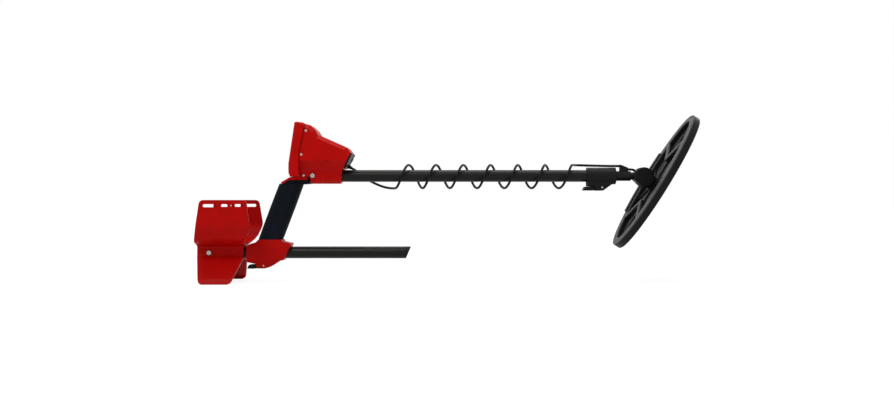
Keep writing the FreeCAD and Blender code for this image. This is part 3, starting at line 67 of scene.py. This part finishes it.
def ramp(tree, source, stops):
    """A colour ramp from (place, colour) stops."""
    node = tree.nodes.new("ShaderNodeValToRGB")
    elements = node.color_ramp.elements
    while len(elements) < len(stops):
        elements.new(0.5)
    for element, (place, colour) in zip(elements, stops):
        element.position = place
        element.color = (*colour, 1.0)
    link(tree, source, 0, node, "Fac")
    return node


def spread(tree, source, low, high):
    """The source's middle range mapped to low and high."""
    node = tree.nodes.new("ShaderNodeMapRange")
    node.inputs["From Min"].default_value = 0.3
    node.inputs["From Max"].default_value = 0.7
    node.inputs["To Min"].default_value = low
    node.inputs["To Max"].default_value = high
    link(tree, source, 0, node, "Value")
    return node


def shade(colour, factor):
    return tuple(min(1.0, c * factor) for c in colour)


def surface(name, colour, rough=(0.4, 0.5), vary=0.12, grain=2200.0, depth=0.02, edge=0.0004, metal=0.0,
            coat=0.0, specular=0.5, stretch=(1, 1, 1), dust=None, sheen=0.0):
    """Moulded, painted or metal skin: colour that varies a little, a fine grain and softly rounded edges."""
    made = bpy.data.materials.new(name)
    made.use_nodes = True
    tree = made.node_tree
    skin = tree.nodes["Principled BSDF"]
    where = tree.nodes.new("ShaderNodeTexCoord")
    coords = tree.nodes.new("ShaderNodeMapping")
    coords.inputs["Scale"].default_value = stretch
    tree.links.new(where.outputs["Object"], coords.inputs["Vector"])
    broad = noise(tree, coords, 38.0, 4.0)
    stops = [(0.3, shade(colour, 1 - vary)), (0.7, shade(colour, 1 + vary))]
    if dust:
        stops.append((0.86, dust))
    tint = ramp(tree, broad, stops)
    link(tree, tint, "Color", skin, "Base Color")
    wear = noise(tree, coords, 190.0, 5.0, 0.65)
    link(tree, spread(tree, wear, *rough), "Result", skin, "Roughness")
    fine = noise(tree, coords, grain, 2.0)
    edges = tree.nodes.new("ShaderNodeBevel")
    edges.inputs["Radius"].default_value = edge
    bump = tree.nodes.new("ShaderNodeBump")
    bump.inputs["Strength"].default_value = 0.6
    bump.inputs["Distance"].default_value = depth / 1000
    link(tree, fine, 0, bump, "Height")
    link(tree, edges, "Normal", bump, "Normal")
    link(tree, bump, "Normal", skin, "Normal")
    skin.inputs["Metallic"].default_value = metal
    skin.inputs["Specular IOR Level"].default_value = specular
    skin.inputs["Coat Weight"].default_value = coat
    skin.inputs["Coat Roughness"].default_value = 0.25
    skin.inputs["Sheen Weight"].default_value = sheen
    return made


looks = {
    "red": surface("red_moulding", (0.44, 0.0022, 0.0012), (0.34, 0.46), 0.08, 1100.0, 0.004, 0.0007,
                   specular=0.06),
    "cuff_red": surface("red_cuff", (0.41, 0.0020, 0.0011), (0.36, 0.48), 0.08, 1000.0, 0.004, 0.0008,
                        specular=0.06),
    # The lower housing uses a darker copy of the red moulding: painted shade standing in for its recessed
    # lower panel.
    "foot_red_painted_shade": surface("red_foot_painted_shade", (0.39, 0.0020, 0.0011), (0.36, 0.48), 0.08, 1100.0, 0.004, 0.0006,
                        specular=0.06),
    "black": surface("black_moulding", (0.0055, 0.0055, 0.0052), (0.4, 0.56), 0.25, 1300.0, 0.006, 0.0004,
                     specular=0.12),
    "shell": surface("coil_black", (0.0055, 0.0055, 0.0058), (0.44, 0.6), 0.3, 800.0, 0.03, 0.0005,
                     dust=(0.010, 0.010, 0.010), specular=0.12),
    # The coil frame is a grey well above the shell's black: painted highlight for the light along its raised
    # ridges and ring top.
    "frame_highlight": surface("coil_frame_painted_highlight", (0.055, 0.055, 0.056), (0.5, 0.66), 0.12, 1300.0, 0.012, 0.0003,
                    specular=0.25),
    "tube": surface("tube_coating", (0.0065, 0.006, 0.0054), (0.28, 0.38), 0.12, 1800.0, 0.003, 0.0003,
                    specular=0.15, stretch=(0.4, 1, 1)),
    "foam": surface("foam_grip", (0.0022, 0.0044, 0.0080), (0.7, 0.9), 0.3, 950.0, 0.10, 0.0005, specular=0.1,
                    sheen=0.03),
    "key": surface("key_rubber", (0.02, 0.02, 0.021), (0.6, 0.72), 0.15, 2400.0, 0.02, 0.0003, specular=0.35),
    "mark": surface("key_mark", (0.62, 0.62, 0.6), (0.5, 0.6), 0.04, 2400.0, 0.01, 0.0001),
    "steel": surface("zinc_steel", (0.40, 0.36, 0.33), (0.22, 0.4), 0.06, 2800.0, 0.01, 0.0002, metal=1.0,
                     stretch=(1, 1, 6)),
    "lcd": surface("lcd_glass", (0.21, 0.25, 0.19), (0.15, 0.22), 0.05, 600.0, 0.002, 0.0002, coat=0.4),
    "segment": surface("lcd_segment", (0.12, 0.15, 0.11), (0.2, 0.3), 0.05, 900.0, 0.002, 0.0001),
    "board": surface("circuit_board", (0.01, 0.085, 0.03), (0.3, 0.42), 0.3, 700.0, 0.02, 0.0002, coat=0.3),
    "cell": surface("battery_wrap", (0.03, 0.03, 0.032), (0.32, 0.45), 0.2, 900.0, 0.01, 0.0003),
    "copper": surface("wound_wire", (0.42, 0.14, 0.05), (0.3, 0.42), 0.15, 1800.0, 0.15, 0.0002, metal=0.8,
                      stretch=(0.15, 0.15, 6)),
    "jacket": surface("cable_jacket", (0.0050, 0.0050, 0.0050), (0.42, 0.56), 0.2, 1300.0, 0.006, 0.0002,
                      specular=0.12),
    "socket": surface("socket_metal", (0.05, 0.05, 0.052), (0.28, 0.4), 0.1, 1600.0, 0.01, 0.0003),
}


def clear_cover():
    made = surface("clear_cover", (0.9, 0.93, 0.93), (0.03, 0.07), 0.02, 300.0, 0.001, 0.0003, coat=0.3)
    skin = made.node_tree.nodes["Principled BSDF"]
    skin.inputs["Transmission Weight"].default_value = 0.95
    skin.inputs["IOR"].default_value = 1.49
    return made


looks["cover"] = clear_cover()

wears = {
    "red": "control_housing rear_bezel handle_frame",
    "cuff_red": "arm_cuff",
    # The lower housing wears the darker red of painted shade.
    "foot_red_painted_shade": "lower_housing",
    "black": "front_panel box_strain_relief lock_collar rod_lever tube_lever rod_bush rod_yoke cable_clip "
             "channel_cover coil_gland coil_knob tube_plug tube_rear_cap loudspeaker",
    "shell": "coil_shell skid_plate",
    # The coil frame wears the grey of painted highlight.
    "frame_highlight": "coil_frame",
    "tube": "upper_tube lower_rod lower_tube",
    "foam": "grip_sleeve",
    "key": "button_menu_down button_pinpoint button_minus button_menu_up button_power button_plus "
           "yoke_washers",
    "steel": "clamp_bolt clamp_nut seam_screws rod_lever_pin tube_lever_pin coil_bolt cuff_bolt cuff_nut",
    "cover": "display_window",
    "lcd": "lcd_panel",
    "board": "main_board",
    "cell": "battery_pack",
    "copper": "transmit_winding receive_winding",
    "socket": "headphone_socket",
}


def dress(piece, look):
    piece.data.materials.clear()
    piece.data.materials.append(looks[look])


for look, names in wears.items():
    for name in names.split():
        dress(nodes[name], look)

# Generic signs on the keys and segments on the display, standing a hair proud of what carries them

FACE_UP = Vector((0.14626, 0, 0.98925))
FACE_OUT = Vector((-0.98925, 0, 0.14626))
FACE_RIGHT = Vector((0, -1, 0))


def front_of(node):
    """The middle of a node's flat front on the control face."""
    places = [v.co for v in nodes[node].data.vertices]
    front = max(place.dot(FACE_OUT) for place in places)
    rim = [place for place in places if front - place.dot(FACE_OUT) < 1e-5]
    middle = FACE_OUT * front
    for way in (FACE_RIGHT, FACE_UP):
        reach = [place.dot(way) for place in rim]
        middle += way * (min(reach) + max(reach)) / 2
    return middle


SUNK = 0.1


def print_on(name, node, shapes, look, body, proud=0.06):
    """Thin raised shapes, given in millimetres across and up the front of a node."""
    origin = front_of(node)
    made = bmesh.new()
    for shape in shapes:
        rings = []
        for lift in (-SUNK, proud):
            rings.append([
                made.verts.new(origin + (FACE_RIGHT * x + FACE_UP * y + FACE_OUT * lift) / 1000)
                for x, y in shape
            ])
        made.faces.new(rings[1])
        made.faces.new(list(reversed(rings[0])))
        for k in range(len(shape)):
            after = (k + 1) % len(shape)
            made.faces.new((rings[0][k], rings[0][after], rings[1][after], rings[1][k]))
    bmesh.ops.recalc_face_normals(made, faces=made.faces)
    mesh = bpy.data.meshes.new(name)
    made.to_mesh(mesh)
    made.free()
    piece = bpy.data.objects.new(name, mesh)
    scene.collection.objects.link(piece)
    dress(piece, look)
    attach(piece, body)


def bar(x0, y0, x1, y1):
    return [(x0, y0), (x1, y0), (x1, y1), (x0, y1)]


def arc_pieces(radius, width, start, end, count):
    """A band round an arc, as short four-cornered pieces, with its angles in degrees."""
    pieces = []
    for k in range(count):
        a, b = (math.radians(start + (end - start) * (k + step) / count) for step in (0, 1))
        inner, outer = radius - width / 2, radius + width / 2
        pieces.append([(r * math.cos(t), r * math.sin(t)) for r, t in
                       ((inner, a), (outer, a), (outer, b), (inner, b))])
    return pieces


key_signs = {
    "menu_down": [[(-1.6, 0.9), (0, -1.3), (1.6, 0.9)]],
    "menu_up": [[(-1.6, -0.9), (1.6, -0.9), (0, 1.3)]],
    "pinpoint": arc_pieces(1.7, 0.4, 0, 360, 20) + [bar(-0.35, -0.35, 0.35, 0.35)],
    "minus": [bar(-1.6, -0.25, 1.6, 0.25)],
    "plus": [bar(-1.6, -0.25, 1.6, 0.25), bar(-0.25, 0.25, 0.25, 1.6), bar(-0.25, -1.6, 0.25, -0.25)],
    "power": arc_pieces(1.6, 0.4, 125, 415, 16) + [bar(-0.2, 0.3, 0.2, 2.1)],
}
for key, shapes in key_signs.items():
    print_on("sign_" + key, "button_" + key, shapes, "mark", "key_" + key)

segments = [bar(-19 + 3.2 * k, 8.4, -17 + 3.2 * k, 9.2 + 0.2 * k) for k in range(12)]
for left in (-8.5, 1.5):
    segments += [
        bar(left + 0.8, 5.2, left + 6.2, 6.2), bar(left + 0.8, -1.0, left + 6.2, 0),
        bar(left + 0.8, -7.2, left + 6.2, -6.2), bar(left, 0.3, left + 0.6, 5.0),
        bar(left + 6.4, 0.3, left + 7.0, 5.0), bar(left, -6.0, left + 0.6, -1.2),
        bar(left + 6.4, -6.0, left + 7.0, -1.2),
    ]
print_on("display_segments", "lcd_panel", segments, "segment", "main", 0.05)

# The coil's cable, in four lengths along the same route points as the solids

CABLE = 0.0045
UPPER = Vector((-0.292898, 0.0, 0.1955))


def on_upper(x, y, z):
    """A point of the upper tube's frame, given in millimetres, in the row frame in metres."""
    return UPPER + Vector((x, y, z)) / 1000


def smooth_line(points):
    """An open NURBS spline with the route's points as its control points."""
    curve = bpy.data.curves.new("route", "CURVE")
    curve.dimensions = "3D"
    curve.resolution_u = 10
    spline = curve.splines.new("NURBS")
    spline.points.add(len(points) - 1)
    for point, place in zip(spline.points, points):
        point.co = (*place, 1.0)
    spline.order_u = 3
    spline.use_endpoint_u = True
    return curve


def cable(name, points, node):
    """A round cable along the route's spline, in place of its CAD solid, and the line it follows."""
    curve = smooth_line(points)
    holder = bpy.data.objects.new("route", curve)
    scene.collection.objects.link(holder)
    bpy.context.view_layer.update()
    line = bpy.data.meshes.new_from_object(holder.evaluated_get(bpy.context.evaluated_depsgraph_get()))
    path = [tuple(v.co) for v in line.vertices]
    curve.bevel_depth = CABLE / 2
    curve.bevel_resolution = 5
    curve.use_fill_caps = True
    bpy.context.view_layer.update()
    mesh = bpy.data.meshes.new_from_object(holder.evaluated_get(bpy.context.evaluated_depsgraph_get()))
    bpy.data.objects.remove(holder)
    for face in mesh.polygons:
        face.use_smooth = True
    piece = bpy.data.objects.new(name, mesh)
    scene.collection.objects.link(piece)
    dress(piece, "jacket")
    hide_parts(node)
    return piece, path


WIND_START, PITCH, RADIUS, DROP, TURNS = 191.5, 50.4, 21.7, 1.2, 6.5
AROUND = 2 * math.pi * RADIUS


def winding_point(turns):
    angle = 2 * math.pi * turns
    return Vector((WIND_START + PITCH * turns, -RADIUS * math.sin(angle), -DROP - RADIUS * math.cos(angle)))


def winding_along(turns):
    angle = 2 * math.pi * turns
    return Vector((PITCH, -AROUND * math.cos(angle), AROUND * math.sin(angle))).normalized()


STUB = 4.5
CLIP_ENTRY = 606
lead_end = winding_point(0) - winding_along(0) * STUB
run_start = winding_point(TURNS) + winding_along(TURNS) * STUB
out = Vector((0.88988, 0, -0.45619))
relief = Vector((108.776, 13.5, 15.102))
lead_route = [
    relief, relief + out * 10.3, Vector((132.1, 17.1, -2.3)), Vector((148.8, 20.9, -12.4)),
    Vector((168.6, 26.3, -20.6)), lead_end - winding_along(0) * 16.8, lead_end,
]
winding_route = [lead_end] + [winding_point(k / 16) for k in range(int(16 * TURNS) + 1)] + [run_start]
run_route = [
    run_start, run_start + winding_along(TURNS) * 11.5,
    Vector((536.2, 26.1, 20.7)), Vector((552.6, 28.5, 20.2)), Vector((568.8, 19.8, 19.5)),
    Vector((582.9, 5.6, 18.6)), Vector((594, 0, 18.3)), Vector((CLIP_ENTRY, 0, 18.3)),
]
gland = Vector((664.483, 33, -12.214))
gland_out = Vector((-0.85536, 0, 0.51803))
clip_front = Vector((620, 3, 12.4))
tail_route = [
    clip_front, clip_front + Vector((0.78261, 0.62251, 0)) * 9, clip_front + Vector((17.9, 17.5, -0.5)),
    clip_front + Vector((29.1, 27.5, -11.8)), gland + gland_out * 8, gland,
]

# The lead and the winding stay with the tube; the run and the tail are baked in place and attached to no
# body.
for name, route, ends in (
    ("coil_cable_lead", lead_route, None),
    ("coil_cable_winding", winding_route, None),
    ("coil_cable_run", run_route, ("main", "rod")),
    ("coil_cable_tail", tail_route, ("rod", "coil")),
):
    places = [on_upper(*p) for p in route]
    piece, path = cable(name, places, name.replace("coil_", ""))
    if ends is None:
        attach(piece, "main")
    elif ends == ("main", "rod"):
        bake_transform(piece)
    else:
        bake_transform(piece)

# Stage: white ground and world, soft lamps, and the camera where the photograph was taken


def white_ground(tree):
    """Lifts what the camera and mirrors see to white, and leaves the light on the object and its shadow."""
    ways = tree.nodes.new("ShaderNodeLightPath")
    seen = tree.nodes.new("ShaderNodeMath")
    seen.operation = "MAXIMUM"
    tree.links.new(ways.outputs["Is Camera Ray"], seen.inputs[0])
    tree.links.new(ways.outputs["Is Transmission Ray"], seen.inputs[1])
    mirrored = tree.nodes.new("ShaderNodeMath")
    mirrored.operation = "MAXIMUM"
    tree.links.new(seen.outputs[0], mirrored.inputs[0])
    tree.links.new(ways.outputs["Is Glossy Ray"], mirrored.inputs[1])
    return mirrored


# Within the first distance from the origin the floor keeps its shadow, and past the second it is plain white.
SHADOW_REACH = 0.7
WHITE_REACH = 2.2
SHADOW_SHARE = 0.8
floor_mesh = bpy.data.meshes.new("ground")
floor_mesh.from_pydata([(-8, -8, 0), (8, -8, 0), (8, 12, 0), (-8, 12, 0)], [], [(0, 1, 2, 3)])
floor = bpy.data.objects.new("ground", floor_mesh)
scene.collection.objects.link(floor)
ground = bpy.data.materials.new("ground_white")
ground.use_nodes = True
tree = ground.node_tree
skin = tree.nodes["Principled BSDF"]
skin.inputs["Base Color"].default_value = (0.86, 0.86, 0.86, 1)
skin.inputs["Roughness"].default_value = 0.9
skin.inputs["Specular IOR Level"].default_value = 0.1
glow = tree.nodes.new("ShaderNodeEmission")
glow.inputs["Strength"].default_value = 1.1
where = tree.nodes.new("ShaderNodeTexCoord")
reach = tree.nodes.new("ShaderNodeVectorMath")
reach.operation = "LENGTH"
tree.links.new(where.outputs["Object"], reach.inputs[0])
fade = tree.nodes.new("ShaderNodeMapRange")
fade.inputs["From Min"].default_value = SHADOW_REACH
fade.inputs["From Max"].default_value = WHITE_REACH
fade.inputs["To Min"].default_value = SHADOW_SHARE
fade.inputs["To Max"].default_value = 1.0
tree.links.new(reach.outputs["Value"], fade.inputs["Value"])
share = tree.nodes.new("ShaderNodeMath")
share.operation = "MULTIPLY"
tree.links.new(white_ground(tree).outputs[0], share.inputs[0])
tree.links.new(fade.outputs["Result"], share.inputs[1])
mix = tree.nodes.new("ShaderNodeMixShader")
tree.links.new(share.outputs[0], mix.inputs[0])
tree.links.new(skin.outputs[0], mix.inputs[1])
tree.links.new(glow.outputs[0], mix.inputs[2])
tree.links.new(mix.outputs[0], tree.nodes["Material Output"].inputs["Surface"])
floor_mesh.materials.append(ground)

world = bpy.data.worlds.new("studio")
scene.world = world
world.use_nodes = True
tree = world.node_tree
air = tree.nodes["Background"]
air.inputs["Color"].default_value = (1, 1, 1, 1)
air.inputs["Strength"].default_value = 0.32
bright = tree.nodes.new("ShaderNodeBackground")
bright.inputs["Color"].default_value = (1, 1, 1, 1)
bright.inputs["Strength"].default_value = 1.0
mix = tree.nodes.new("ShaderNodeMixShader")
tree.links.new(white_ground(tree).outputs[0], mix.inputs[0])
tree.links.new(air.outputs[0], mix.inputs[1])
tree.links.new(bright.outputs[0], mix.inputs[2])
tree.links.new(mix.outputs[0], tree.nodes["World Output"].inputs["Surface"])


def lamp(name, place, aim, size, power):
    light = bpy.data.lights.new(name, "AREA")
    light.shape = "RECTANGLE"
    light.size, light.size_y = size
    light.energy = power
    holder = bpy.data.objects.new(name, light)
    holder.location = place
    holder.rotation_euler = (Vector(aim) - Vector(place)).to_track_quat("-Z", "Y").to_euler()
    scene.collection.objects.link(holder)


lamp("key", (-0.9, -1.5, 1.9), (-0.1, 0, 0.17), (1.4, 0.9), 26)
lamp("top", (0.1, 0.1, 1.7), (0, 0, 0.17), (1.6, 0.7), 14)
lamp("rear", (0.9, 1.3, 0.9), (0.1, 0, 0.17), (0.9, 0.9), 9)

camera = bpy.data.cameras.new("view")
camera.lens = 38.1
camera.sensor_width = 36
holder = bpy.data.objects.new("view", camera)
holder.location = (-0.0059, -1.75, 0.151)
holder.rotation_euler = (math.radians(90), 0, 0)
scene.collection.objects.link(holder)
scene.camera = holder
scene.view_settings.view_transform = "Standard"
